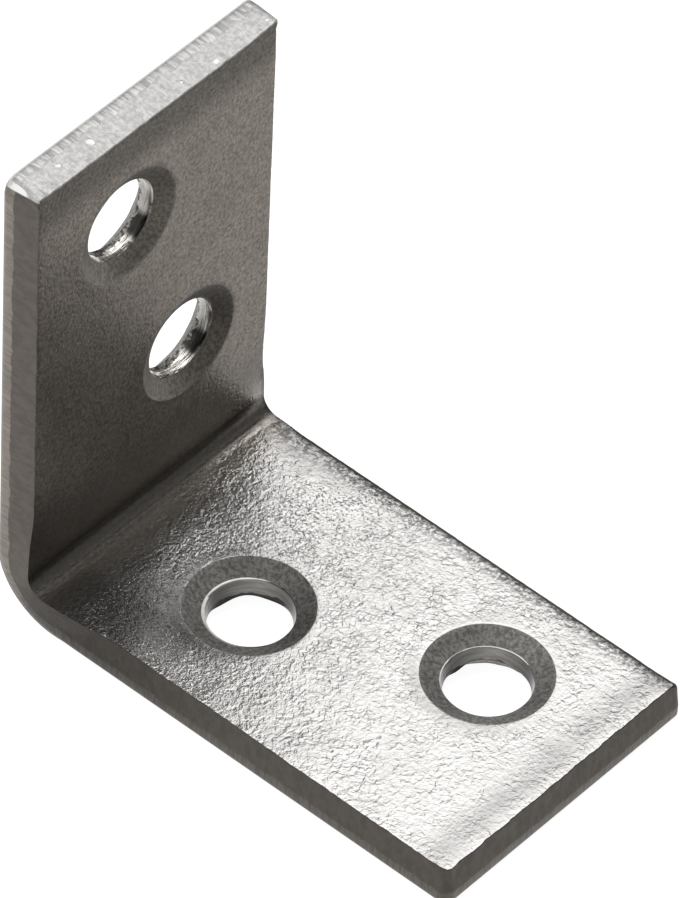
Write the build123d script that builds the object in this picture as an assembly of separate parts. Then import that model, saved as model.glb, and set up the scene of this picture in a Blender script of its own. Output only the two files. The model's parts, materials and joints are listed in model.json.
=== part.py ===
from build123d import *
import os

# Chair corner bracket: one strip of steel sheet, blanked, pierced with four
# countersunk screw holes and folded once to a right angle.
#
# Frame, in millimetres: +X along the lower leg to its tip, +Y across the strip,
# +Z up the other leg. The origin is the centre of the box's underside. The
# functions below work from the heel, where the two outer faces' planes meet.

# Strip and fold
lower_length = 25.0
upper_length = 24.6
strip_width = 14.6
sheet = 1.9
outer_bend = 3.35
inner_bend = 0.8

# Cut edges, as blanking leaves them: rolled over on the outer faces, smooth for
# a band above that, then torn and leaning inwards up to the inner faces
corner_radius = 0.5
roll_over = 0.35
smooth_band = 0.7
tear_lean = 0.2

# Screw holes, punched and countersunk from the inner faces. The punch broke the
# sheet out in a cone at the outer faces, a wider one in the upright leg.
bore_radius = 1.95
sink_radius = 2.82
sink_depth = 0.42
breakout_depth = 0.8
lower_breakout_radius = 2.4
upper_breakout_radius = 2.8

# Hole places: distance from the outer face of the other leg, and the zigzag
# across the strip, which is set a little off its middle line
lower_first_hole = 9.1
upper_first_hole = 9.5
hole_pitch = 9.7
near_row = -1.7
far_row = 2.2

# Metal squeezed out sideways at the inside of the fold: how far it stands out of
# the smooth band, and how far round the fold's inner corner
swell_height = 0.12
swell_reach = 2.0


def folded_strip(thickness, width):
    """The fold's profile through a strip that ends flush with the inner faces."""
    skipped = sheet - thickness
    profile = make_face(
        Polyline(
            (skipped, skipped),
            (lower_length, skipped),
            (lower_length, sheet),
            (sheet, sheet),
            (sheet, upper_length),
            (skipped, upper_length),
            close=True,
        )
    )
    corners = profile.vertices().sort_by_distance((skipped, skipped, 0))
    profile = fillet(corners[0], outer_bend - skipped)
    corners = profile.vertices().sort_by_distance((sheet, sheet, 0))
    profile = fillet(corners[0], inner_bend)
    return extrude(Plane.XZ * profile, width / 2, both=True)


def near_cut_face(strip):
    """The cut face on the strip's near side."""
    return strip.faces().filter_by(Axis.Y).sort_by(Axis.Y)[0]


def lower_leg_edges(cut_face):
    """A cut face's two long edges on the lower leg, the underside's first."""
    edges = cut_face.edges().filter_by(Axis.X).sort_by(SortBy.LENGTH)[-2:]
    return edges.sort_by(Axis.Z)


def blanked_strip():
    """The folded strip with its corners, torn zone and rolled edge.

    One edge stands for the whole outline, as its tangent neighbours follow it.
    """
    strip = folded_strip(sheet, strip_width)
    tip_corners = strip.edges().filter_by(Axis.Z).group_by(Axis.X)[-1]
    top_corners = strip.edges().filter_by(Axis.X).group_by(Axis.Z)[-1]
    strip = fillet(tip_corners + top_corners, corner_radius)
    side = near_cut_face(strip)
    strip = chamfer(lower_leg_edges(side)[1], sheet - smooth_band, tear_lean, reference=side)
    return fillet(lower_leg_edges(near_cut_face(strip))[0], roll_over)


def fold_swell():
    """A lens that stands out of both cut faces at the inside of the fold."""
    ball_radius = (swell_reach**2 + swell_height**2) / (2 * swell_height)
    ball_offset = strip_width / 2 + swell_height - ball_radius
    middle = sheet + inner_bend
    near_ball = Pos(middle, -ball_offset, middle) * Sphere(ball_radius)
    far_ball = Pos(middle, ball_offset, middle) * Sphere(ball_radius)
    return folded_strip(sheet - roll_over, strip_width + 2 * swell_height) & near_ball & far_ball


def hole_cutter(breakout_radius):
    """The hole's form along +Z, from the outer face at 0 to the inner face."""
    above = (Align.CENTER, Align.CENTER, Align.MIN)
    bore = Cylinder(bore_radius, sheet, align=above)
    breakout = Cone(breakout_radius, bore_radius, breakout_depth, align=above)
    sink = Cone(bore_radius, sink_radius, sink_depth, align=above)
    return bore + breakout + Pos(0, 0, sheet - sink_depth) * sink


def hole_cutters():
    """The cutters of all four holes, each on its leg's outer face."""
    lower_holes = ((lower_first_hole, near_row), (lower_first_hole + hole_pitch, far_row))
    upper_holes = ((upper_first_hole, far_row), (upper_first_hole + hole_pitch, near_row))
    lower_cutter = hole_cutter(lower_breakout_radius)
    upper_cutter = hole_cutter(upper_breakout_radius)
    cutters = [Plane((along, across, 0), z_dir=(0, 0, 1)) * lower_cutter for along, across in lower_holes]
    cutters += [Plane((0, across, along), z_dir=(1, 0, 0)) * upper_cutter for along, across in upper_holes]
    return cutters


def bracket():
    """The finished bracket, measured from its heel."""
    solid = blanked_strip() + fold_swell()
    for cutter in hole_cutters():
        solid -= cutter
    return solid


os.makedirs("parts", exist_ok=True)
part = Pos(-lower_length / 2, 0, 0) * bracket()
part.label = "bracket"
export_step(part, "parts/bracket.step")
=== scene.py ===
import json
import math

import bmesh
import bpy
import numpy as np
from mathutils import Matrix, Vector, geometry, noise
from mathutils.kdtree import KDTree


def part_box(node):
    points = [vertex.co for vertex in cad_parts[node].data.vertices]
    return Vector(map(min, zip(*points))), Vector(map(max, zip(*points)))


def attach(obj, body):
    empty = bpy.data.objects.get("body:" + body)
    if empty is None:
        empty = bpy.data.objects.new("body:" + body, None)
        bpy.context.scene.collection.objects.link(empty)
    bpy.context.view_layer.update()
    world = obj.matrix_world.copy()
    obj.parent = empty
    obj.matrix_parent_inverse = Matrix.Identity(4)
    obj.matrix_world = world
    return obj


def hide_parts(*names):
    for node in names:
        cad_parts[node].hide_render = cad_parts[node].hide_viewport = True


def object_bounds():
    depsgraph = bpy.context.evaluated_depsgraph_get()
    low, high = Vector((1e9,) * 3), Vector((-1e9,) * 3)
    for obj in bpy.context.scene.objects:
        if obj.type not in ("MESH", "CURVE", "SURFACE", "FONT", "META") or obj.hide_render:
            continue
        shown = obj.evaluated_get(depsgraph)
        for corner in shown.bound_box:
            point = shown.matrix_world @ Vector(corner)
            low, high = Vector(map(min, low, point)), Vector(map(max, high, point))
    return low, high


# The bracket is one folded strip. Its mesh is worked out on the flat strip and
# then folded: "along" runs from the lower leg's tip over the fold to the upright's
# top, "across" runs over the strip, and "height" is the distance from the outer
# face through the sheet. All of these are in millimetres.
MM = 0.001

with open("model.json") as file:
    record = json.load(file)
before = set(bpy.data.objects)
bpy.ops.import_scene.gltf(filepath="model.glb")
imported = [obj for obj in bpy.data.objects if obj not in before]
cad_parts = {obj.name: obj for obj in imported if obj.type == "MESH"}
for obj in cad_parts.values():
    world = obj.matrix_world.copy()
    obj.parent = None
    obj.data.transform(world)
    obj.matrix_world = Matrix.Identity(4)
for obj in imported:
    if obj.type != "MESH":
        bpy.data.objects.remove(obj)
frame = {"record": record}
cad_low, cad_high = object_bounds()
box_low, box_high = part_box("bracket")

# The strip and its fold
HEEL = box_low.x / MM
LOWER_LENGTH = (box_high.x - box_low.x) / MM
UPPER_LENGTH = (box_high.z - box_low.z) / MM
HALF_WIDTH = 7.3
SHEET = 1.9
OUTER_BEND = 3.35
INNER_BEND = 0.8
CORNER = 0.5
NEAR_TOP_CORNER = 0.8

# The cut edge, from the outer face to the inner one
ROLL_OVER = 0.35
SMOOTH_BAND = 0.7
TEAR_LEAN = 0.2
EDGE_ROUND = 0.04
FAR_EDGE_ROUND = 0.22

# Screw holes. SINK_ROUND is the share of a countersink that is rounded off at its
# rim, and BORE_SHIFTS says how each bore lies off it: along, across and in radius.
BREAKOUT_DEPTH = 0.8
LOWER_BREAKOUT_RADIUS = 2.4
UPPER_BREAKOUT_RADIUS = 2.8
SINK_RADIUS = 2.82
UPPER_SINK_RADIUS = 2.76
SINK_DEPTH = 0.42
SINK_ROUND = 0.03
LEDGE_RADIUS = 1.98
BORE_TAPER = 0.09
BORE_SHIFTS = {
    "lower_hole_near_fold": (-0.05, 0.03, -0.05),
    "lower_hole_near_tip": (-0.01, 0.0, -0.01),
    "upper_hole_near_fold": (-0.04, 0.0, -0.03),
    "upper_hole_near_top": (0.0, 0.0, 0.0),
}

# Where a bore runs deeper before it breaks out, and where the breakout is wider: the
# place's angle from the tip's side towards the far side, its width, extra depth and
# extra radius
BREAK_MARKS = {
    "lower_hole_near_fold": ((3.0, 0.45, 0.25, 0), (2.9, 0.9, 0.1, 0), (1.8, 0.6, 0.22, 0)),
    "lower_hole_near_tip": ((3.05, 0.28, 0.25, 0), (1.7, 0.8, 0.05, 0)),
    "upper_hole_near_fold": ((2.2, 0.4, 0.07, -0.22), (-0.6, 0.4, 0, -0.15), (0.4, 0.9, 0.11, 0.1)),
    "upper_hole_near_top": ((2.0, 0.35, 0.07, -0.22), (0.3, 0.8, 0.05, 0.28)),
}

# Metal squeezed out at the sides of the fold, less at the far side
SWELL_HEIGHT = 0.12
SWELL_REACH = 2.0
FAR_SWELL_LOSS = 0.25

# Places along the strip where the fold starts and ends
INNER_CENTRE = SHEET + INNER_BEND
FLAT_RUN = OUTER_BEND - INNER_CENTRE
FOLD_START = LOWER_LENGTH - OUTER_BEND
FOLD_LENGTH = 2 * FLAT_RUN + INNER_BEND * math.pi / 2
FOLD_END = FOLD_START + FOLD_LENGTH
TOTAL = FOLD_END + UPPER_LENGTH - OUTER_BEND

# Lines that the folding tool pressed along both sides of the fold's inner corner
CREASES = (FOLD_START + FLAT_RUN + 0.31, FOLD_START + FLAT_RUN + 1.21)

# Relief of the inner faces: how far they drop or rise at these places
TOP_DROP = 0.05
TIP_RISE = 0.045
NEAR_EDGE_RISE = 0.028
LIP_RISE = 0.02
HOLE_RIM_RISE = 0.02

# Painted shade on the lower leg's inner face, which all ends at the fold: how much
# darker, and over which ranges along and across it sets in
LEG_PAINTED_SHADES = (
    (0.2, (14.0, 19.0), (5.2, 6.0)),
    (0.25, (17.5, 19.5), (1.0, -4.5)),
    (0.15, (20.5, 21.5), (3.0, 1.0)),
    (0.33, (16.8, 18.6), (-3.9, -5.2)),
)

# Painted shade in and by the fold's far end: how much darker, where past the first
# crease it starts, is full, fades and ends, and over which range across it sets in
FOLD_PAINTED_SHADES = (
    (0.4, (0.64, 0.79, 0.99, 1.14), (3.5, 5.0)),
    (0.32, (0.89, 1.19, 2.39, 4.99), (4.6, 6.0)),
    (0.1, (-2.01, -1.21, -0.21, 0.19), (5.4, 6.2)),
)

# Ranges along the strip over which the looks change
SPARKS_BEGIN = (12.0, 15.0)
SPARKS_GROW = (15.0, 19.0)
SPARKS_END = (19.0, 21.0)
FACE_ROUGHER = (16.0, 20.0)
FACE_SHADED_MOTTLE = (17.0, 21.0)
FACE_WARMER = (20.5, 22.5)
SIDES_SHADED = (11.0, 19.0)
SIDES_UNSHADED = (21.0, 23.5)

# Colours: where there are two, the darker one comes first
BLACK = (0, 0, 0, 1)
BRIGHT_ZINC = ((0.61, 0.602, 0.588, 1), (0.675, 0.666, 0.65, 1))
WARM_ZINC = (0.66, 0.612, 0.56, 1)
SHADED_MATTE_ZINC = ((0.06, 0.052, 0.044, 1), (0.25, 0.218, 0.187, 1))
# The sides' colours are painted darker as shade, the lower leg's most
SHADED_LOWER_SMOOTH = ((0.082, 0.074, 0.065, 1), (0.116, 0.105, 0.092, 1))
UPPER_SMOOTH = ((0.165, 0.148, 0.128, 1), (0.23, 0.207, 0.18, 1))
SHADED_LOWER_TORN = ((0.083, 0.074, 0.065, 1), (0.1, 0.089, 0.079, 1))
UPPER_TORN = ((0.112, 0.1, 0.088, 1), (0.136, 0.121, 0.108, 1))
# The top end's colours are painted lighter, where it faces the light
LIT_TOP_SMOOTH = ((0.32, 0.316, 0.309, 1), (0.56, 0.553, 0.54, 1))
LIT_TOP_TORN = ((0.33, 0.326, 0.318, 1), (0.46, 0.455, 0.446, 1))
TOP_BACK_EDGE_HIGHLIGHT = (0.86, 0.855, 0.846, 1)
TOP_CORNER_HIGHLIGHT = (0.74, 0.735, 0.725, 1)
TOP_CHIP_GLINT = (0.62, 0.615, 0.605, 1)
# The breakout's colours, whose dark end is painted shade inside the hole
BREAKOUT = ((0.018, 0.016, 0.014, 1), (0.24, 0.225, 0.21, 1))
BURNISHED = ((0.64, 0.61, 0.57, 1), (0.92, 0.89, 0.85, 1))
TORN_BORE = ((0.05, 0.046, 0.042, 1), (0.34, 0.322, 0.3, 1))
LOWER_CONE = ((0.25, 0.24, 0.226, 1), (0.5, 0.485, 0.46, 1))
SHADED_UPPER_CONE = ((0.2, 0.182, 0.16, 1), (0.34, 0.31, 0.272, 1))

# The studio: its level, where the wide bright patch behind the bracket and the pale
# wall on the left in front of it are, and the direction in which the patch brightens
SKY_LEVEL = 0.13
BRIGHT_PATCH = (-0.443, 0.530, 0.723)
UP_THE_PATCH = (0.464, -0.555, 0.690)
PALE_WALL = (-0.455, -0.724, 0.517)

# Chips in the upright's top end, painted brighter as glints: across, height through
# the sheet, and size
TOP_CHIPS = (
    (3.75, 1.62, 0.15),
    (1.86, 1.46, 0.1),
    (-3.2, 1.14, 0.15),
    (-5.1, 1.1, 0.11),
    (6.95, 1.55, 0.09),
)

# Mesh spacing
EDGE_STEP = 0.13
FOLD_STEP = 0.08
INNER_STEP = 0.17
OUTER_STEP = 0.35
HOLE_POINTS = 96

# Finishes: the numbers of the piece's materials
FACE, CUT, TORN, BORE, CONE = range(5)


def inner_line(along):
    """The inner faces' line in the XZ plane, from the heel, with its normals."""
    arc_start = FOLD_START + FLAT_RUN
    arc_end = FOLD_END - FLAT_RUN
    turn = np.clip((along - arc_start) / INNER_BEND, 0, math.pi / 2)
    x = INNER_CENTRE + np.maximum(arc_start - along, 0) - INNER_BEND * np.sin(turn)
    z = INNER_CENTRE + np.maximum(along - arc_end, 0) - INNER_BEND * np.cos(turn)
    return x, z, np.sin(turn), np.cos(turn)


def outer_line(along):
    """The outer faces' line in the XZ plane, from the heel."""
    turn = np.clip((along - FOLD_START) / FOLD_LENGTH, 0, 1) * math.pi / 2
    x = OUTER_BEND + np.maximum(FOLD_START - along, 0) - OUTER_BEND * np.sin(turn)
    z = OUTER_BEND + np.maximum(along - FOLD_END, 0) - OUTER_BEND * np.cos(turn)
    return x, z


def folded(along, across, height):
    """Points of the flat strip, folded, in millimetres from the heel."""
    share = height / SHEET
    inner_x, inner_z, _, _ = inner_line(along)
    outer_x, outer_z = outer_line(along)
    x = outer_x + share * (inner_x - outer_x)
    z = outer_z + share * (inner_z - outer_z)
    return np.stack([x, across, z], axis=-1)


def wave(places, size, seed):
    """Smooth noise from -1 to 1 at a list of 3-D places, with blobs of that size."""
    shift = Vector((seed * 17.3, seed * 5.1, seed * 9.7))
    return np.array([noise.noise(Vector(place) / size + shift) for place in places])


def ease(value, start, full):
    """Goes smoothly from 0 at start to 1 at full, whichever of them is greater."""
    share = np.clip((value - start) / (full - start), 0, 1)
    return share * share * (3 - 2 * share)


def between(value, start, full, fade, end):
    """Rises smoothly from 0 at start to 1 at full and falls from there at fade to 0
    at end."""
    return ease(value, start, full) * ease(value, end, fade)


def peak(value, middle, width):
    """A smooth peak: 1 at the middle, less to both sides."""
    return np.exp(-(((value - middle) / width) ** 2))


def outline():
    """The blank's outline, as places along and across with outward normals."""
    flat = np.arange(CORNER, FOLD_START, EDGE_STEP)
    fold = np.arange(FOLD_START, FOLD_END, FOLD_STEP)
    rest = np.arange(FOLD_END, TOTAL - CORNER, EDGE_STEP)
    stations = np.concatenate([flat, fold, rest, [TOTAL - CORNER]])
    inside = HALF_WIDTH - CORNER
    end_stations = np.linspace(-inside, inside, round(2 * inside / EDGE_STEP) + 1)
    turns = np.linspace(0, math.pi / 2, 9)[1:-1]

    points = []
    normals = []

    def corner(centre_along, centre_across, start, sharpness=0.0):
        centre = np.array([centre_along, centre_across])
        for turn in turns:
            normal = np.array([math.cos(start + turn), math.sin(start + turn)])
            reach = CORNER * (1 + sharpness * math.sin(2 * turn) ** 2)
            normals.append(tuple(normal))
            points.append(tuple(centre + np.clip(reach * normal, -CORNER, CORNER)))

    def side(stations_along, stations_across, normal):
        for place in zip(stations_along, stations_across):
            points.append(place)
            normals.append(normal)

    side(stations, np.full(len(stations), -HALF_WIDTH), (0, -1))
    corner(TOTAL - CORNER, -inside, -math.pi / 2)
    side(np.full(len(end_stations), TOTAL), end_stations, (1, 0))
    corner(TOTAL - CORNER, inside, 0, 0.3)
    side(stations[::-1], np.full(len(stations), HALF_WIDTH), (0, 1))
    corner(CORNER, inside, math.pi / 2, 0.2)
    side(np.zeros(len(end_stations)), end_stations[::-1], (-1, 0))
    corner(CORNER, -inside, math.pi)

    points = np.array(points)
    normals = np.array(normals)
    off = points - np.array([TOTAL - NEAR_TOP_CORNER, NEAR_TOP_CORNER - HALF_WIDTH])
    away = np.linalg.norm(off, axis=1)
    cut = (off[:, 0] > 0) & (off[:, 1] < 0) & (away > NEAR_TOP_CORNER)
    normals[cut] = off[cut] / away[cut, None]
    points[cut] -= off[cut] - NEAR_TOP_CORNER * normals[cut]
    return points, normals


def cut_profile(places, normals):
    """Heights through the cut edge and how far it lies inside there, point by point."""
    on_far_side = np.clip(normals[:, 1] / 0.7, 0, 1) ** 2
    on_lower_leg = np.clip((FOLD_START + 1.0 - places[:, 0]) / 2, 0, 1)
    at_far_top = np.clip(normals[:, 0], 0, 1) * ease(places[:, 1], 5.0, HALF_WIDTH)
    at_near_top = np.clip(-2 * normals[:, 0] * normals[:, 1], 0, 1) ** 2
    at_near_top = np.where(normals[:, 0] > 0, at_near_top, 0)

    # The tear leans less on the far side and at the top's two corners, but more again
    # just above the fold
    lean = TEAR_LEAN - on_far_side * (0.03 + 0.07 * on_lower_leg)
    lean -= 0.14 * at_far_top + 0.2 * at_near_top
    lean += 0.09 * on_far_side * peak(places[:, 0], FOLD_END + 1.8, 1.5)
    rounder = 0.05 + (FAR_EDGE_ROUND - EDGE_ROUND - 0.05) * on_lower_leg
    rounding = EDGE_ROUND + on_far_side * rounder
    roll = ROLL_OVER - 0.07 * on_lower_leg
    nowhere = np.zeros(len(places))

    steps = []
    for turn in np.linspace(0, math.pi / 2, 6):
        height = (roll + 0.22 * at_near_top) * (1 - math.cos(turn))
        steps.append((height, (roll - 0.07 * at_near_top) * (1 - math.sin(turn))))
    steps.append((nowhere + SMOOTH_BAND, nowhere))
    top = SHEET - rounding
    for share in np.linspace(0, 1, 9)[1:]:
        steps.append((SMOOTH_BAND + share * (top - SMOOTH_BAND), share * lean))
    for turn in np.linspace(0, math.pi / 2, 5)[1:]:
        steps.append((top + rounding * math.sin(turn), lean + rounding * (1 - math.cos(turn))))
    return steps


def hole_profile(bore_radius, on_upright):
    """Down a hole's wall from the outer face: height, radius, how far its ring
    follows the bore's own shape, and the finish of the band above it."""
    sink_start = SHEET - SINK_DEPTH
    sink_radius = UPPER_SINK_RADIUS if on_upright else SINK_RADIUS
    breakout_radius = UPPER_BREAKOUT_RADIUS if on_upright else LOWER_BREAKOUT_RADIUS
    profile = []
    for share in np.linspace(0, 1, 7)[:-1]:
        radius = breakout_radius + share * (bore_radius - BORE_TAPER - breakout_radius)
        profile.append((share * BREAKOUT_DEPTH, radius, share, TORN))
    for share in np.linspace(0, 1, 6):
        level = BREAKOUT_DEPTH + share * (sink_start - 0.012 - BREAKOUT_DEPTH)
        profile.append((level, bore_radius - (1 - share) * BORE_TAPER, 1.0, BORE))
    ledge = CONE if on_upright else BORE
    profile.append((sink_start - 0.004, bore_radius + 0.003, 1.0, ledge))
    profile.append((sink_start + 0.01, LEDGE_RADIUS, 0.0, CONE))
    for share in (0.05, 0.25, 0.5, 0.75, 1.0):
        reach = share * (1 - SINK_ROUND)
        radius = LEDGE_RADIUS + reach * (sink_radius - LEDGE_RADIUS)
        profile.append((sink_start + 0.01 + reach * (SINK_DEPTH - 0.01), radius, 0.0, CONE))
    rim = SINK_ROUND * SINK_DEPTH
    profile.append((SHEET - 0.3 * rim, sink_radius, 0.0, CONE))
    profile.append((SHEET, sink_radius + 1.5 * rim, 0.0, CONE))
    return profile


def screw_holes():
    """Each screw hole's name, place along and across the strip, and bore radius."""
    holes = []
    for mount in frame["record"]["mounts"]:
        if mount["kind"] != "bore":
            continue
        x, y, z = (value / MM for value in mount["pos_m"])
        on_lower_leg = mount["axis"][2] > 0.5
        along = LOWER_LENGTH - (x - HEEL) if on_lower_leg else FOLD_END + z - OUTER_BEND
        holes.append((mount["name"], along, y, mount["dims"]["r_mm"]))
    return holes


class Surface:
    """Vertices and triangles as they are added, with a finish for each triangle."""

    def __init__(self):
        self.parts = []
        self.turns = []
        self.count = 0
        self.triangles = []
        self.finishes = []

    def add(self, along, across, height, turn=None):
        """Adds vertices and gives their numbers; turn is a direction round a hole."""
        self.parts.append(np.stack([along, across, height], axis=-1).reshape(-1, 3))
        count = len(self.parts[-1])
        self.turns.append(np.zeros((count, 3)) if turn is None else turn)
        first = self.count
        self.count += count
        return np.arange(first, self.count)

    def band(self, ring, next_ring, finish):
        """Joins two closed rings of as many points with triangles."""
        here = np.roll(ring, -1)
        there = np.roll(next_ring, -1)
        self.triangles.append(np.stack([ring, here, there], axis=-1))
        self.triangles.append(np.stack([ring, there, next_ring], axis=-1))
        self.finishes.append(np.full(2 * len(ring), finish))

    def points(self):
        """All vertices so far, as places on the flat strip."""
        return np.concatenate(self.parts)

    def around(self):
        """Each vertex's direction round its hole, with zeros where there is none."""
        return np.concatenate(self.turns)


def grid_on(length, step, border, normals, rims, outer):
    """A shaken triangular grid of points on a face, clear of its border and rims."""
    rows = np.arange(step, length, step * math.sqrt(0.75))
    if not outer:
        rows = rows[(rows < CREASES[0] - 0.35) | (rows > CREASES[1] + 0.35)]
        rows = np.concatenate([rows, np.arange(CREASES[0] - 0.3, CREASES[1] + 0.3, FOLD_STEP / 2)])
    columns = np.arange(-HALF_WIDTH, HALF_WIDTH, step)
    along, across = np.meshgrid(rows, columns, indexing="ij")
    across = across + 0.5 * step * (np.arange(len(rows)) % 2)[:, None]
    grid = np.column_stack([along.ravel(), across.ravel()])
    shake = np.random.default_rng(7).uniform(-0.12, 0.12, grid.shape) * step
    grid = grid + shake * np.where(abs(grid[:, :1] - sum(CREASES) / 2) < 1.0, 0.1, 1.0)
    tree = KDTree(len(border))
    for number, (along, across) in enumerate(border):
        tree.insert((along, across, 0), number)
    tree.balance()
    nearest = np.array([tree.find((along, across, 0))[1] for along, across in grid])
    inside = -np.sum((grid - border[nearest]) * normals[nearest], axis=1)
    keep = inside > 0.6 * step
    for middle, radius in rims:
        keep &= np.linalg.norm(grid - middle, axis=1) > radius + 0.6 * step
    return grid[keep]


def is_sheet(triangle, border_count, flat):
    """Whether a triangle is sheet, not a hole or a gap outside the ragged border."""
    if any(i >= len(flat) for i in triangle):
        return True
    if any(i >= border_count for i in triangle):
        holes = {(i - border_count) // HOLE_POINTS for i in triangle}
        return len(holes) > 1 or any(i < border_count for i in triangle)
    a, b, c = (flat[i] for i in sorted(triangle))
    return (b[0] - a[0]) * (c[1] - a[1]) > (c[0] - a[0]) * (b[1] - a[1])


def fill_face(surface, border, normals, rims, step, outer):
    """Fills one face of the strip between its border and the rims of its holes."""
    known = surface.points()
    loops = [border] + rims
    fixed = np.concatenate(loops)
    stretch = OUTER_BEND * math.pi / 2 / FOLD_LENGTH if outer else 1.0

    def stretched(along):
        return along + np.clip(along - FOLD_START, 0, FOLD_LENGTH) * (stretch - 1)

    flat = np.column_stack([stretched(known[fixed, 0]), known[fixed, 1]])
    edges = []
    first = 0
    for loop in loops:
        edges += [(first + i, first + (i + 1) % len(loop)) for i in range(len(loop))]
        first += len(loop)
    circles = []
    for rim in range(len(rims)):
        first = len(border) + rim * HOLE_POINTS
        spots = flat[first : first + HOLE_POINTS]
        middle = spots.mean(axis=0)
        circles.append((middle, np.linalg.norm(spots - middle, axis=1).max()))
    grid = grid_on(stretched(TOTAL), step, flat[: len(border)], normals, circles, outer)

    spots = [Vector(place) for place in np.concatenate([flat, grid])]
    result = geometry.delaunay_2d_cdt(spots, edges, [], 0, 1e-7)
    origins = [origin[0] for origin in result[3]]
    past = np.clip(grid[:, 0] - FOLD_START, 0, FOLD_LENGTH * stretch)
    along = grid[:, 0] - past * (1 - 1 / stretch)
    added = surface.add(along, grid[:, 1], np.full(len(grid), 0.0 if outer else SHEET))
    numbers = np.concatenate([fixed, added])
    triangles = [[origins[i] for i in triangle] for triangle in result[2]]
    kept = [numbers[t] for t in triangles if is_sheet(t, len(border), flat)]
    surface.triangles.append(np.array(kept))
    surface.finishes.append(np.full(len(kept), FACE))


def add_hole(surface, number, name, along, across, bore_radius):
    """Adds one screw hole's wall and gives its outer and inner rims."""
    on_upright = along > FOLD_END
    shift_along, shift_across, wider = BORE_SHIFTS[name]
    angles = np.linspace(0, 2 * math.pi, HOLE_POINTS, endpoint=False)
    circle = np.column_stack([np.cos(angles), np.sin(angles)])
    turn = np.column_stack([circle, np.full(HOLE_POINTS, number + 1.0)])
    sink_start = SHEET - SINK_DEPTH
    deeper = np.zeros(HOLE_POINTS)
    wider_break = np.zeros(HOLE_POINTS)
    for turned, width, depth, bulge in BREAK_MARKS[name]:
        off = np.remainder(2 * math.pi - angles - turned, 2 * math.pi) - math.pi
        deeper += depth * peak(off, 0, width)
        wider_break += bulge * peak(off, 0, width)
    rings = []
    finishes = []
    for height, radius, own_shape, finish in hole_profile(bore_radius + wider, on_upright):
        spots = np.column_stack([circle, np.full(HOLE_POINTS, height)])
        ragged = 0.0
        if height < BREAKOUT_DEPTH:
            share = 1 - height / BREAKOUT_DEPTH
            ragged = 0.07 * wave(spots, 0.8, 10 + number) + 0.05 * wave(spots, 0.25, 14 + number)
            ragged = share * (ragged + wider_break)
        elif finish == BORE:
            ragged = 0.042 if height < BREAKOUT_DEPTH + 0.01 else 0.012
            ragged *= wave(spots, 0.5, 18 + number)
        reach = radius + ragged
        below_sink = (sink_start - height) / (sink_start - BREAKOUT_DEPTH)
        dipping = min(height / BREAKOUT_DEPTH, below_sink)
        ring = surface.add(
            along + own_shape * shift_along + reach * circle[:, 0],
            across + own_shape * shift_across + reach * circle[:, 1],
            height - max(dipping, 0.0) * deeper,
            turn,
        )
        rings.append(ring)
        finishes.append(finish)
    for ring, next_ring, finish in zip(rings, rings[1:], finishes):
        surface.band(ring, next_ring, finish)
    return rings[0], rings[-1]


def strip_surface():
    """The whole bracket as a closed surface on the flat strip."""
    surface = Surface()
    places, normals = outline()
    edge_places = np.column_stack([places, np.zeros(len(places))])
    unevenness = 1 - 0.65 * np.clip(normals[:, 1], 0, 1)
    rings = []
    for height, inset in cut_profile(places, normals):
        share = np.clip((height - SMOOTH_BAND) / (SHEET - SMOOTH_BAND), 0, 1)
        level = edge_places.copy()
        level[:, 2] = 0.4 * height
        ragged = 0.035 * wave(level, 0.9, 1) + 0.04 * wave(level, 0.22, 2)
        inward = np.maximum(inset + share * unevenness * ragged, 0)
        along = places[:, 0] - inward * normals[:, 0]
        across = places[:, 1] - inward * normals[:, 1]
        rings.append(surface.add(along, across, height))
    for ring, next_ring in zip(rings, rings[1:]):
        surface.band(ring, next_ring, CUT)

    rims = [add_hole(surface, number, *hole) for number, hole in enumerate(screw_holes())]
    outer_rims = [outer for outer, _ in rims]
    inner_rims = [inner for _, inner in rims]
    fill_face(surface, rings[0], normals, outer_rims, OUTER_STEP, True)
    fill_face(surface, rings[-1], normals, inner_rims, INNER_STEP, False)
    return surface


def relief(flat):
    """How far the inner face stands above its plane, at places on the flat strip."""
    along, across = flat[:, 0], flat[:, 1]
    places = np.column_stack([along, across, np.zeros(len(along))])
    on_lower_leg = np.clip((CREASES[0] - along) / 1.5, 0, 1)
    from_top = TOTAL - along + 0.2 * wave(places, 2.5, 23)
    rise = -TOP_DROP * np.clip(1 - from_top / 1.7, 0, 1) ** 2
    from_tip = along + 0.15 * wave(places, 2.5, 22)
    rise += TIP_RISE * peak(from_tip, 0.5, 0.6)
    near_edge = ease(along, 6.0, 9.0) * ease(across, -4.8, -7.2)
    rise += NEAR_EDGE_RISE * on_lower_leg * near_edge

    within = ease(HALF_WIDTH - np.abs(across), 0.3, 1.3)
    depths = (0.01 + 0.01 * ease(across, 3.0, 5.0), 0.012)
    for crease, depth in zip(CREASES, depths):
        rise -= depth * within * peak(along, crease, 0.06)
    lip = peak(along, CREASES[0] - 0.16, 0.07) * ease(across, 3.2, 5.5)
    rise += LIP_RISE * lip * ease(HALF_WIDTH - across, 0.1, 0.8)

    rise += (0.002 + 0.016 * on_lower_leg) * wave(places, 1.8, 20)
    rise += (0.001 + 0.004 * on_lower_leg) * wave(places, 0.55, 21)
    for _, hole_along, hole_across, _ in screw_holes():
        away = np.hypot(along - hole_along, across - hole_across) - SINK_RADIUS
        rise += HOLE_RIM_RISE * peak(away, 0, 0.45)
    return rise


def in_fold(along):
    """1 between the two creases and 0 outside them."""
    return between(along, CREASES[0] - 0.1, CREASES[0], CREASES[1], CREASES[1] + 0.1)


def sparkling_patch(along, across):
    """The patch between the fold and its nearest hole, which sparkles most."""
    return peak(along, 19.7, 1.2) * peak(across, -1.0, 1.9)


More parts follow.
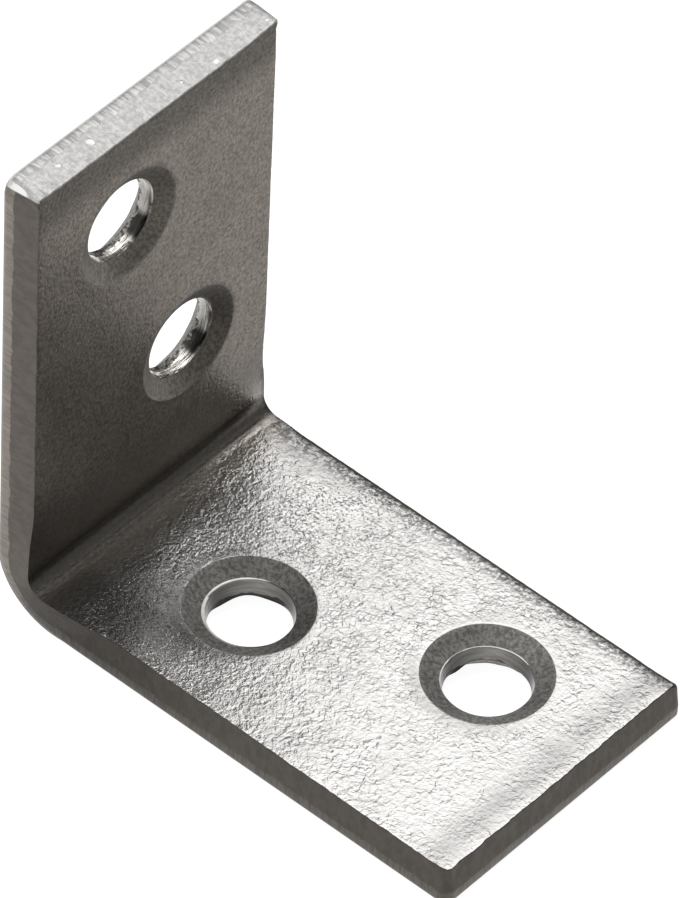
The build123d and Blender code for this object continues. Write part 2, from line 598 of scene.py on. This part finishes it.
def leg_light_and_shade(along, across):
    """Painted light and shade on the lower leg, by its holes and towards the fold: lighter
    on the patch that sparkles most, darker on a shaded patch and towards the fold.
    """
    before_fold = ease(along, CREASES[0], CREASES[0] - 0.5)
    shaded_patch = peak(along, 16.6, 1.9) * peak(across, -4.9, 0.9)
    tone = (1 + 0.3 * sparkling_patch(along, across)) * (1 - 0.42 * shaded_patch)
    for share, reach, side in LEG_PAINTED_SHADES:
        tone *= 1 - share * ease(along, *reach) * ease(across, *side) * before_fold
    return tone


def fold_painted_shade(along, across):
    """Painted shade in and above the fold: along the first crease, where the folding
    tool pressed, between the creases, along a streak past them, in a band above the
    fold, by its far end, on the lip before it and on the far rim above it.
    """
    past = along - CREASES[0]
    inside = in_fold(along)
    crease_shade = peak(past, 0, 0.17)
    streak_shade = peak(past, 0.61, 0.16)
    shade_above = between(past, 1.49, 2.29, 2.79, 4.99)
    tone = 1 - (0.84 - 0.2 * ease(across, 2.0, 5.0)) * crease_shade
    tone *= 1 - (0.32 + 0.08 * ease(past, 0.29, 0.79)) * inside
    tone *= 1 - (0.28 + 0.3 * ease(across, -4.0, 4.0)) * streak_shade
    tone *= 1 - 0.2 * shade_above
    for share, reach, side in FOLD_PAINTED_SHADES:
        tone *= 1 - share * between(past, *reach) * ease(across, *side)
    # Painted shade on the lip before the first crease
    lip = ease(past, -0.35, -0.15) * ease(along, CREASES[1], CREASES[0]) * (1 - inside)
    tone *= 1 - 0.62 * lip * ease(across, 4.5, 2.0)
    # Painted shade along the far rim above the fold
    far_rim = ease(HALF_WIDTH - across, 0.42, 0.32) * ease(past, 4.39, 1.39)
    return tone * (1 - 0.6 * far_rim)


def wrinkles(along, across, uneven, tip_band):
    """How wrinkled the inner face is: most on the lower leg, clear of its fold."""
    wrinkled = 0.84 + 0.18 * uneven - 0.25 * ease(along, 10.0, 19.0) - 0.14 * tip_band
    wrinkled *= 1 - 0.25 * ease(across, 1.5, -3.0)
    by_fold = ease(along, CREASES[0] - 2.2, CREASES[0] - 0.4)
    wrinkled *= 1 - 0.6 * by_fold * ease(across, 4.5, 0.0)
    wrinkled *= 1 - 0.3 * ease(along, 15.0, 18.5) * ease(across, 3.5, -0.5)
    wrinkled *= 1 - in_fold(along)
    wrinkled *= 1 - 0.55 * ease(along, FOLD_END - 0.5, FOLD_END + 0.5)
    wrinkled += 0.5 * sparkling_patch(along, across)
    near_edge = ease(across, -5.0, -6.4) * between(along, 8.0, 10.0, 12.5, 15.0)
    return wrinkled * (1 - 0.3 * near_edge)


def hole_painted_shades(turned, on_upright):
    """The painted shade round a hole's bore and round its countersink's cone, by the angle
    from the tip's side towards the far side: darker to one side, where shade falls."""
    if on_upright:
        # A painted shadow over part of the upright bore's wall
        shaded = np.exp(-(((turned - 0.76) / 0.31) ** 10))
        bore_shading = (1 - 0.5 * ease(turned, 0.7, 1.1)) * (1 - 0.95 * shaded)
        return bore_shading, np.maximum(0.55, 0.8 - 0.3 * np.abs(turned + 0.5) / 1.4)
    bore_shading = 0.065 + 0.18 * peak(turned, 2.1, 0.75)
    return bore_shading, 0.62 + 0.38 * peak(turned, -0.87, 0.7)


def shade_and_wrinkle_maps(flat):
    """The inner face's painted light and shade, how wrinkled it is and where it gets
    painted shade as it is rolled off at the far edge, at places on the flat strip."""
    along, across, height = flat[:, 0], flat[:, 1], flat[:, 2]
    places = np.column_stack([along, across, np.zeros(len(along))])
    uneven = wave(places, 1.5, 30)
    from_top = TOTAL - along + 0.25 * uneven
    tip_band = peak(along + 0.3 * uneven, 1.2, 0.8)
    tone = fold_painted_shade(along, across) * leg_light_and_shade(along, across)
    # Painted shade towards the upright's top end, where its face drops, and in a band by the lower
    # leg's tip
    tone *= 1 - 0.48 * ease(from_top, 2.8, 1.2)
    tone *= 1 - (0.25 + 0.08 * wave(places, 0.9, 32)) * tip_band
    wrinkled = wrinkles(along, across, uneven, tip_band)
    from_far_edge = HALF_WIDTH - across - 0.2 * ease(along, 15.0, 20.0)
    far_edge_shade = ease(from_far_edge, 1.2, 0.45) * ease(along, CREASES[0], CREASES[0] - 0.4)

    for _, hole_along, hole_across, _ in screw_holes():
        away = np.hypot(along - hole_along, across - hole_across) - SINK_RADIUS
        wrinkled *= 1 - 0.5 * ease(away, 0.6, 0.2)
        if hole_along < FOLD_START:
            # Painted shade on the near side of each lower hole's rim
            rim_shade = peak(away, 0.25, 0.35) * ease(hole_across - across, 0.5, 2.5)
            tone *= 1 - 0.25 * rim_shade
    in_wall = height < SHEET - SINK_DEPTH - 0.005
    for _, hole_along, hole_across, _ in screw_holes():
        turned = np.arctan2(across - hole_across, hole_along - along)
        near = np.hypot(along - hole_along, across - hole_across) < SINK_RADIUS + 0.01
        bore = near & in_wall
        cone = near & ~in_wall & (height < SHEET + 0.001)
        bore_shade, cone_shade = hole_painted_shades(turned, hole_along > FOLD_END)
        tone = np.where(bore, bore_shade, np.where(cone, cone_shade, tone))
        wrinkled = np.where(bore, 1 - 0.8 * ease(turned, 0.3, 0.6), wrinkled)
    return np.column_stack([tone, np.clip(wrinkled, 0, 1.3), far_edge_shade])


def swollen(points):
    """Pushes the strip's sides out round the fold's inner corner."""
    ball_radius = (SWELL_REACH**2 + SWELL_HEIGHT**2) / (2 * SWELL_HEIGHT)
    away = np.hypot(points[:, 0] - INNER_CENTRE, points[:, 2] - INNER_CENTRE)
    ball = np.sqrt(np.maximum(ball_radius**2 - away**2, 0))
    lens = HALF_WIDTH + SWELL_HEIGHT - ball_radius + ball
    side = np.abs(points[:, 1])
    rim = HALF_WIDTH - TEAR_LEAN
    lens = np.where(points[:, 1] > 0, lens - FAR_SWELL_LOSS, lens)
    near_edge = np.clip((side - rim + 1.6) / 1.6, 0, 1)
    push = np.maximum(lens - rim, 0) * near_edge**2
    blended = 0.5 * (side + lens + np.hypot(side - lens, 0.03))
    at_rim = np.where(lens > side - 0.3, blended, side)
    target = np.where(side > rim - 0.1, at_rim, side + push)
    target = np.minimum(target, HALF_WIDTH + SWELL_HEIGHT)
    points[:, 1] = np.sign(points[:, 1]) * np.maximum(side, target)
    return points


def bracket_piece():
    """The detailed bracket, in the part's frame."""
    surface = strip_surface()
    flat = surface.points()
    height = flat[:, 2] + relief(flat) * (flat[:, 2] / SHEET) ** 2
    points = folded(flat[:, 0], flat[:, 1], height)
    points = swollen(points)
    mesh = bpy.data.meshes.new("bracket_steel")
    faces = np.concatenate(surface.triangles)
    metres = (points + np.array([HEEL, 0, 0])) * MM
    mesh.from_pydata(metres.tolist(), [], faces.tolist())
    mesh.polygons.foreach_set("material_index", np.concatenate(surface.finishes).astype(np.int32))
    # The finish numbers hold the painted light and shade, how wrinkled the face is and the far
    # edge's painted shade
    looks = {"strip": flat, "turn": surface.around(), "finish": shade_and_wrinkle_maps(flat)}
    for name, values in looks.items():
        attribute = mesh.attributes.new(name, "FLOAT_VECTOR", "POINT")
        attribute.data.foreach_set("vector", values.astype(np.float32).ravel())
    mesh.shade_smooth()
    shape = bmesh.new()
    shape.from_mesh(mesh)
    bmesh.ops.recalc_face_normals(shape, faces=shape.faces)
    shape.to_mesh(mesh)
    shape.free()
    mesh.set_sharp_from_angle(angle=math.radians(40))
    piece = bpy.data.objects.new("bracket_steel", mesh)
    bpy.context.scene.collection.objects.link(piece)
    return piece


def new_material(name):
    """A new material with its nodes."""
    material = bpy.data.materials.new(name)
    material.use_nodes = True
    return material, Nodes(material.node_tree)


class Nodes:
    """A node tree, with short ways to add and join its nodes."""

    def __init__(self, tree):
        self.tree = tree
        self.shader = tree.nodes.get("Principled BSDF")

    def join(self, value, socket):
        """Links a node's output to a socket, or sets the socket to a plain value."""
        if isinstance(value, bpy.types.NodeSocket):
            self.tree.links.new(value, socket)
        else:
            socket.default_value = value

    def attribute(self, name):
        """The mesh's own numbers: its place on the strip, round a hole, or its finish, which
        holds painted light and shade and how wrinkled it is.
        """
        node = self.tree.nodes.new("ShaderNodeAttribute")
        node.attribute_name = name
        return node.outputs["Vector"]

    def stretched(self, vector, stretch):
        node = self.tree.nodes.new("ShaderNodeVectorMath")
        node.operation = "MULTIPLY"
        self.join(vector, node.inputs[0])
        node.inputs[1].default_value = stretch
        return node.outputs["Vector"]

    def noise(self, vector, scale, detail=2.0, roughness=0.5, distortion=0.0):
        node = self.tree.nodes.new("ShaderNodeTexNoise")
        self.join(vector, node.inputs["Vector"])
        node.inputs["Scale"].default_value = scale
        node.inputs["Detail"].default_value = detail
        node.inputs["Roughness"].default_value = roughness
        node.inputs["Distortion"].default_value = distortion
        return node.outputs["Fac"]

    def math(self, operation, first, second=0.0, third=0.0):
        node = self.tree.nodes.new("ShaderNodeMath")
        node.operation = operation
        for value, socket in zip((first, second, third), node.inputs):
            self.join(value, socket)
        return node.outputs[0]

    def distance(self, vector, place):
        node = self.tree.nodes.new("ShaderNodeVectorMath")
        node.operation = "DISTANCE"
        self.join(vector, node.inputs[0])
        node.inputs[1].default_value = place
        return node.outputs["Value"]

    def facing(self, direction, towards):
        """The cosine of the angle between two directions."""
        node = self.tree.nodes.new("ShaderNodeVectorMath")
        node.operation = "DOT_PRODUCT"
        self.join(direction, node.inputs[0])
        node.inputs[1].default_value = Vector(towards).normalized()
        return node.outputs["Value"]

    def ramp(self, value, low, high, to_low=0.0, to_high=1.0, kind="SMOOTHSTEP"):
        """Takes a value from one range to another, smoothly unless told otherwise."""
        node = self.tree.nodes.new("ShaderNodeMapRange")
        node.interpolation_type = kind
        self.join(value, node.inputs["Value"])
        for socket, number in zip(node.inputs[1:5], (low, high, to_low, to_high)):
            self.join(number, socket)
        return node.outputs["Result"]

    def part(self, vector, letter):
        node = self.tree.nodes.new("ShaderNodeSeparateXYZ")
        self.join(vector, node.inputs[0])
        return node.outputs[letter]

    def colour_mix(self, share, first, second):
        node = self.tree.nodes.new("ShaderNodeMix")
        node.data_type = "RGBA"
        self.join(share, node.inputs["Factor"])
        self.join(first, node.inputs["A"])
        self.join(second, node.inputs["B"])
        return node.outputs["Result"]

    def darkened(self, level, colour):
        """The colour at level 1, and black at level 0."""
        return self.colour_mix(level, BLACK, colour)

    def metal(self, colour, normal, roughness):
        """Makes the shader a metal with that colour, normal and roughness."""
        self.join(colour, self.shader.inputs["Base Color"])
        self.join(normal, self.shader.inputs["Normal"])
        self.join(roughness, self.shader.inputs["Roughness"])
        self.shader.inputs["Metallic"].default_value = 1.0

    def sum_of(self, first, second):
        node = self.tree.nodes.new("ShaderNodeVectorMath")
        self.join(first, node.inputs[0])
        self.join(second, node.inputs[1])
        return node.outputs["Vector"]

    def bump(self, height, distance, strength=1.0, below=None):
        """A bump of that height, in millimetres for a height from 0 to 1."""
        node = self.tree.nodes.new("ShaderNodeBump")
        self.join(height, node.inputs["Height"])
        self.join(strength, node.inputs["Strength"])
        node.inputs["Distance"].default_value = distance * MM
        if below is not None:
            self.join(below, node.inputs["Normal"])
        return node.outputs["Normal"]


def zinc_face():
    """The rolled faces under bright zinc: finely wrinkled, most on the lower leg."""
    material, nodes = new_material("zinc_face")
    place = nodes.attribute("strip")
    along = nodes.part(place, "X")
    finish = nodes.attribute("finish")
    wrinkled = nodes.part(finish, "Y")
    on_upright = nodes.ramp(along, FOLD_START - 1.0, FOLD_END)

    # Relief: wrinkles, flakes and grain, and sparks towards the fold
    patchy = nodes.ramp(nodes.noise(place, 1.1, 2.0), 0.36, 0.64, 0.55, 1.25)
    wrinkle = nodes.noise(place, 4.2, 2.0, 0.55, 0.4)
    normal = nodes.bump(wrinkle, 0.085, nodes.math("MULTIPLY", wrinkled, patchy))
    flakes = nodes.ramp(nodes.noise(place, 1.5, 4.0, 0.6, 0.4), 0.465, 0.535)
    from_tip = nodes.ramp(along, 1.0, 5.0, 0.45, 1.0)
    normal = nodes.bump(flakes, 0.011, nodes.math("MULTIPLY", wrinkled, from_tip), normal)
    grain = nodes.noise(place, 7.0, 2.0, 0.6)
    grainy = nodes.ramp(along, 0.5, 3.5, 1.1, 0.7)
    grainy = nodes.math("MULTIPLY_ADD", on_upright, 0.6, grainy)
    normal = nodes.bump(grain, 0.012, grainy, normal)
    past_middle = nodes.math("MAXIMUM", nodes.part(place, "Y"), -1.0)
    fading = nodes.math("MULTIPLY_ADD", past_middle, 0.3, along)
    sparkling = nodes.ramp(along, *SPARKS_BEGIN)
    sparkling = nodes.math("SUBTRACT", sparkling, nodes.ramp(fading, *SPARKS_END))
    stronger = nodes.ramp(along, *SPARKS_GROW, 0.8, 1.4)
    sparkling = nodes.math("MULTIPLY", sparkling, stronger)
    sparks = nodes.ramp(nodes.noise(place, 9.0, 1.0), 0.57, 0.77)
    normal = nodes.bump(sparks, 0.03, nodes.math("MULTIPLY", sparkling, patchy), normal)

    # Colour: bright on the lower leg; matte and speckled on the upright, where the same
    # zinc is painted darker as shade
    blotch = nodes.ramp(nodes.noise(place, 0.35, 3.0), 0.3, 0.7)
    bright = nodes.colour_mix(blotch, *BRIGHT_ZINC)
    bright = nodes.colour_mix(nodes.ramp(along, *FACE_WARMER), bright, WARM_ZINC)
    speck = nodes.ramp(grain, 0.24, 0.76, 0.0, 1.0, "LINEAR")
    shaded_matte = nodes.colour_mix(speck, *SHADED_MATTE_ZINC)
    cloud = nodes.noise(nodes.stretched(place, (0.6, 1.0, 1.0)), 0.7, 3.0)
    shaded_matte = nodes.darkened(nodes.ramp(cloud, 0.3, 0.7, 0.88, 1.0), shaded_matte)
    past_fold = nodes.ramp(along, FOLD_START - 1.0, FOLD_END + 3.5)
    colour = nodes.colour_mix(past_fold, bright, shaded_matte)

    # Tone: the painted light and shade from the mesh, painted shade where the far edge is
    # rolled off, and a random mottle on the lower leg that deepens towards the fold as
    # painted shade
    flecks = nodes.ramp(nodes.noise(place, 6.0, 2.0, 0.6), 0.4, 0.62, 0.72, 0.1)
    rolled_off_shade = nodes.math("MULTIPLY", nodes.part(finish, "Z"), flecks)
    left = nodes.math("SUBTRACT", 1.0, rolled_off_shade)
    tone = nodes.math("MULTIPLY", nodes.part(finish, "X"), left)
    deepest_shade = nodes.ramp(along, *FACE_SHADED_MOTTLE, 0.9, 0.72)
    dull = nodes.ramp(nodes.noise(place, 6.5, 2.0, 0.6), 0.3, 0.7, deepest_shade, 1.0, "LINEAR")
    tone = nodes.math("MULTIPLY", tone, nodes.math("MAXIMUM", dull, past_fold))
    rough = nodes.ramp(along, *FACE_ROUGHER, 0.24, 0.26)
    rough = nodes.math("MULTIPLY_ADD", on_upright, 0.09, rough)
    nodes.metal(nodes.darkened(tone, colour), normal, rough)
    return material


def chips(nodes, place, uneven):
    """Where the upright's top end has its chips."""
    on_end = nodes.stretched(place, (0.0, 0.7, 1.0))
    chipped = 0.0
    for across, level, size in TOP_CHIPS:
        off = nodes.distance(on_end, (0.0, 0.7 * across, level))
        off = nodes.math("SUBTRACT", off, 1.8 * size)
        off = nodes.math("MULTIPLY_ADD", uneven, 3.6 * size, off)
        chipped = nodes.math("MAXIMUM", chipped, nodes.ramp(off, size, 0.3 * size))
    return chipped


def side_colour(nodes, along, scored, pitted, torn):
    """The cut edge's colour along the legs, painted darker as shade: more on the lower
    one, as its contact shadow, and most by the fold.
    """
    shaded_lower_smooth = nodes.colour_mix(scored, *SHADED_LOWER_SMOOTH)
    upper_smooth = nodes.colour_mix(scored, *UPPER_SMOOTH)
    shaded_lower_torn = nodes.colour_mix(pitted, *SHADED_LOWER_TORN)
    upper_torn = nodes.colour_mix(pitted, *UPPER_TORN)
    on_upright = nodes.ramp(along, FOLD_START, FOLD_END)
    smooth = nodes.colour_mix(on_upright, shaded_lower_smooth, upper_smooth)
    dull = nodes.colour_mix(on_upright, shaded_lower_torn, upper_torn)
    dim = nodes.ramp(along, *SIDES_SHADED, 1.0, 0.7)
    dim = nodes.math("MAXIMUM", dim, nodes.ramp(along, *SIDES_UNSHADED))
    return nodes.darkened(dim, nodes.colour_mix(torn, smooth, dull))


def cut_edge():
    """The cut edge: scored in its smooth band and dull where it tore, painted darker as
    shade along the sides but lighter as painted light on the upright's top end, which
    has a few chips in it."""
    material, nodes = new_material("cut_edge")
    place = nodes.attribute("strip")
    along = nodes.part(place, "X")
    height = nodes.part(place, "Z")

    # Where the top end lies, and where the smooth band ends and the tear begins
    from_corner = nodes.math("ADD", along, nodes.part(place, "Y"))
    from_corner = nodes.math("SUBTRACT", from_corner, TOTAL - HALF_WIDTH)
    clear = nodes.math("MULTIPLY_ADD", height, -0.1, from_corner)
    on_top = nodes.ramp(along, TOTAL - 0.5, TOTAL - 0.34)
    on_top = nodes.math("MULTIPLY", on_top, nodes.ramp(clear, -0.3, -0.2))
    border = nodes.noise(nodes.stretched(place, (1.0, 1.0, 0.0)), 1.6, 3.0, 0.6)
    border = nodes.ramp(border, 0.3, 0.7, -0.05, 0.05)
    border = nodes.math("MULTIPLY", border, nodes.ramp(on_top, 0.0, 1.0, 1.0, 3.0))
    above = nodes.math("SUBTRACT", nodes.math("SUBTRACT", height, SMOOTH_BAND), border)
    torn = nodes.ramp(above, -0.03, 0.03)

    # Relief: scores in the smooth band, pits in the torn zone, and the chips
    scores = nodes.noise(nodes.stretched(place, (6.0, 6.0, 0.7)), 1.0, 3.0, 0.7)
    pits = nodes.noise(nodes.stretched(place, (3.0, 3.0, 2.0)), 1.0, 4.0, 0.6)
    uneven = nodes.noise(place, 3.0, 3.0, 0.6)
    chipped = nodes.math("MULTIPLY", chips(nodes, place, uneven), on_top)
    normal = nodes.bump(scores, 0.03, nodes.ramp(torn, 0.0, 1.0, 1.0, 0.2))
    normal = nodes.bump(pits, 0.03, nodes.ramp(torn, 0.0, 1.0, 0.3, 1.0), normal)
    normal = nodes.bump(chipped, 0.012, 1.0, normal)
    scored = nodes.ramp(scores, 0.36, 0.62)
    pitted = nodes.ramp(pits, 0.35, 0.65)
    side = side_colour(nodes, along, scored, pitted, torn)

    # The top end's colour, painted lighter where it faces the light: a dark line where
    # the tear begins, a painted highlight along the back edge and on the near corner,
    # and chips painted brighter as glints
    mottle = nodes.ramp(nodes.noise(place, 5.0, 4.0, 0.7), 0.35, 0.65)
    lit_top_smooth = nodes.colour_mix(scored, *LIT_TOP_SMOOTH)
    top = nodes.colour_mix(torn, lit_top_smooth, nodes.colour_mix(mottle, *LIT_TOP_TORN))
    line = nodes.ramp(nodes.math("ABSOLUTE", above), 0.02, 0.06, 0.9, 1.0)
    top = nodes.darkened(line, top)
    back_edge_highlight = nodes.math("MULTIPLY", on_top, nodes.ramp(height, 0.32, 0.12))
    top = nodes.colour_mix(back_edge_highlight, top, TOP_BACK_EDGE_HIGHLIGHT)
    through = nodes.math("MULTIPLY_ADD", height, 1.5, -0.9)
    around = nodes.math("MULTIPLY_ADD", from_corner, 3.6, 0.2)
    around = nodes.math("MULTIPLY", around, around)
    away = nodes.math("MULTIPLY_ADD", through, through, around)
    away = nodes.math("MULTIPLY_ADD", uneven, 0.8, away)
    top = nodes.colour_mix(nodes.ramp(away, 1.5, 1.1), top, TOP_CORNER_HIGHLIGHT)
    top = nodes.colour_mix(chipped, top, TOP_CHIP_GLINT)
    rough = nodes.ramp(nodes.math("SUBTRACT", torn, on_top), 0.0, 1.0, 0.34, 0.5)
    rough = nodes.math("MULTIPLY_ADD", back_edge_highlight, 0.6, rough)
    nodes.metal(nodes.colour_mix(on_top, side, top), normal, rough)
    return material


def torn_wall():
    """Where the punch broke the sheet out at a hole's outer end: rough and dull, and
    painted dark as shade inside the hole.
    """
    material, nodes = new_material("torn_wall")
    pits = nodes.noise(nodes.attribute("strip"), 6.0, 4.0, 0.65)
    colour = nodes.colour_mix(nodes.ramp(pits, 0.35, 0.65), *BREAKOUT)
    nodes.metal(colour, nodes.bump(pits, 0.09), 0.42)
    return material


def bore_wall():
    """The bore, burnished bright by the punch, with rings, a few drag marks and a
    torn strip at its outer end."""
    material, nodes = new_material("bore_wall")
    turn = nodes.attribute("turn")
    place = nodes.attribute("strip")
    finish = nodes.attribute("finish")
    height = nodes.part(place, "Z")
    streaked = nodes.part(finish, "Y")
    on_upright = nodes.ramp(nodes.part(place, "X"), FOLD_START, FOLD_END)

    # Relief: rings and drag marks
    level = nodes.tree.nodes.new("ShaderNodeCombineXYZ")
    nodes.join(nodes.math("MULTIPLY", height, 5.0), level.inputs["Z"])
    around = nodes.sum_of(nodes.stretched(turn, (1.3, 1.3, 3.0)), level.outputs[0])
    rings = nodes.noise(around, 1.0, 3.0, 0.6, 0.3)
    drags = nodes.noise(nodes.stretched(turn, (7.0, 7.0, 3.0)), 1.0, 2.0)
    normal = nodes.bump(rings, 0.035, streaked)
    normal = nodes.bump(drags, 0.025, streaked, normal)

    # Colour: burnished, darkened by the painted shade round the bore, painted dark as
    # shade at its outer end in the lower leg, and torn there in the upright
    colour = nodes.colour_mix(nodes.ramp(rings, 0.35, 0.65), *BURNISHED)
    ragged = nodes.noise(nodes.stretched(turn, (1.8, 1.8, 3.0)), 1.0, 3.0, 0.5)
    above = nodes.math("SUBTRACT", height, nodes.ramp(ragged, 0.3, 0.7, 0.72, 0.92))
    unshaded = nodes.ramp(above, -0.05, 0.05, 0.22, 1.0)
    unshaded = nodes.math("MAXIMUM", unshaded, on_upright)
    tone = nodes.math("MULTIPLY", nodes.part(finish, "X"), unshaded)
    colour = nodes.darkened(tone, colour)
    jagged = nodes.noise(nodes.stretched(turn, (4.0, 4.0, 3.0)), 1.0, 3.0, 0.6)
    jagged = nodes.ramp(jagged, 0.3, 0.7, 0.66, 0.94)
    torn_level = nodes.math("MULTIPLY_ADD", streaked, 0.2, jagged)
    torn = nodes.ramp(nodes.math("SUBTRACT", torn_level, height), -0.03, 0.03)
    torn = nodes.math("MULTIPLY", torn, on_upright)
    speck = nodes.ramp(nodes.noise(place, 7.0, 3.0, 0.65), 0.35, 0.65)
    colour = nodes.colour_mix(torn, colour, nodes.colour_mix(speck, *TORN_BORE))
    nodes.metal(colour, normal, nodes.math("MULTIPLY_ADD", torn, 0.2, 0.16))
    return material


def sink_cone():
    """The countersink's cone: dull, with faint marks that run towards the bore, painted
    darker on the upright and to one side of each cone as shade.
    """
    material, nodes = new_material("sink_cone")
    turn = nodes.attribute("turn")
    place = nodes.attribute("strip")
    marks = nodes.noise(nodes.stretched(turn, (16.0, 16.0, 3.0)), 1.0, 3.0, 0.6)
    mottle = nodes.noise(place, 6.0, 3.0, 0.65)
    normal = nodes.bump(marks, 0.006)
    normal = nodes.bump(mottle, 0.02, 1.0, normal)
    faint = nodes.math("MULTIPLY", marks, 0.15)
    share = nodes.ramp(nodes.math("MULTIPLY_ADD", mottle, 0.85, faint), 0.38, 0.62)
    lower = nodes.colour_mix(share, *LOWER_CONE)
    upper = nodes.colour_mix(share, *SHADED_UPPER_CONE)
    on_upright = nodes.ramp(nodes.part(place, "X"), FOLD_START, FOLD_END)
    colour = nodes.colour_mix(on_upright, lower, upper)
    # Painted shade round the cone
    tone = nodes.part(nodes.attribute("finish"), "X")
    nodes.metal(nodes.darkened(tone, colour), normal, 0.55)
    return material


def add_camera():
    """The photograph's view: a long lens from the front right, high up."""
    place = Vector((194.69, -233.28, 330.69)) * MM
    aim = Vector((-6.590, 7.497, 2.0)) * MM
    roll = math.radians(2.635)
    camera = bpy.data.objects.new("camera", bpy.data.cameras.new("camera"))
    camera.data.sensor_width = 36.0
    camera.data.lens = 434.6
    camera.data.clip_start = 0.01
    camera.data.clip_end = 10.0
    camera.location = place
    turn = (aim - place).to_track_quat("-Z", "Y").to_matrix() @ Matrix.Rotation(roll, 3, "Z")
    camera.rotation_euler = turn.to_euler()
    bpy.context.scene.collection.objects.link(camera)
    bpy.context.scene.camera = camera


def softbox(direction, distance, width, height, radiance):
    """A softbox that faces the bracket, given by how bright it looks there."""
    data = bpy.data.lights.new("softbox", "AREA")
    data.shape = "RECTANGLE"
    data.size = width * MM
    data.size_y = height * MM
    data.energy = radiance * math.pi * data.size * data.size_y
    lamp = bpy.data.objects.new("softbox", data)
    away = Vector(direction).normalized()
    lamp.location = away * distance * MM
    lamp.rotation_euler = away.to_track_quat("Z", "Y").to_euler()
    bpy.context.scene.collection.objects.link(lamp)


def add_world():
    """A dim studio with one wide bright patch that is brightest at its top."""
    world = bpy.data.worlds.new("studio")
    bpy.context.scene.world = world
    world.use_nodes = True
    nodes = Nodes(world.node_tree)
    direction = nodes.tree.nodes.new("ShaderNodeTexCoord").outputs["Generated"]
    patch = nodes.ramp(nodes.facing(direction, BRIGHT_PATCH), 0.58, 0.92)
    level = nodes.ramp(nodes.facing(direction, UP_THE_PATCH), -0.45, 0.45, 0.2, 1.75, "LINEAR")
    wall = nodes.ramp(nodes.facing(direction, PALE_WALL), 0.7, 0.95, 0.0, 1.2)
    total = nodes.math("ADD", nodes.math("MULTIPLY_ADD", patch, level, wall), SKY_LEVEL)
    background = nodes.tree.nodes["Background"]
    background.inputs["Color"].default_value = (1, 1, 1, 1)
    nodes.join(total, background.inputs["Strength"])


def add_floor():
    """A pale floor that camera, glossy and transmission rays see as white."""
    mesh = bpy.data.meshes.new("floor")
    half = 3.0
    corners = [(-half, -half, 0), (half, -half, 0), (half, half, 0), (-half, half, 0)]
    mesh.from_pydata(corners, [], [(0, 1, 2, 3)])
    floor = bpy.data.objects.new("floor", mesh)
    floor.location.z = cad_low.z - 0.02 * MM
    bpy.context.scene.collection.objects.link(floor)
    material, nodes = new_material("floor")
    nodes.shader.inputs["Base Color"].default_value = (0.3, 0.3, 0.3, 1)
    nodes.shader.inputs["Roughness"].default_value = 1.0
    nodes.shader.inputs["Specular IOR Level"].default_value = 0.0
    path = nodes.tree.nodes.new("ShaderNodeLightPath").outputs
    seen = nodes.math("MAXIMUM", path["Is Camera Ray"], path["Is Glossy Ray"])
    seen = nodes.math("MAXIMUM", seen, path["Is Transmission Ray"])
    nodes.shader.inputs["Emission Color"].default_value = (1, 1, 1, 1)
    nodes.join(nodes.math("MULTIPLY", seen, 0.94), nodes.shader.inputs["Emission Strength"])
    mesh.materials.append(material)


piece = bracket_piece()
for material in (zinc_face(), cut_edge(), torn_wall(), bore_wall(), sink_cone()):
    piece.data.materials.append(material)
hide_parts("bracket")
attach(piece, "root")
add_camera()
add_world()
add_floor()
softbox((-0.26, 0.31, 0.915), distance=500, width=640, height=640, radiance=0.4)

bpy.context.scene.view_settings.view_transform = "Standard"
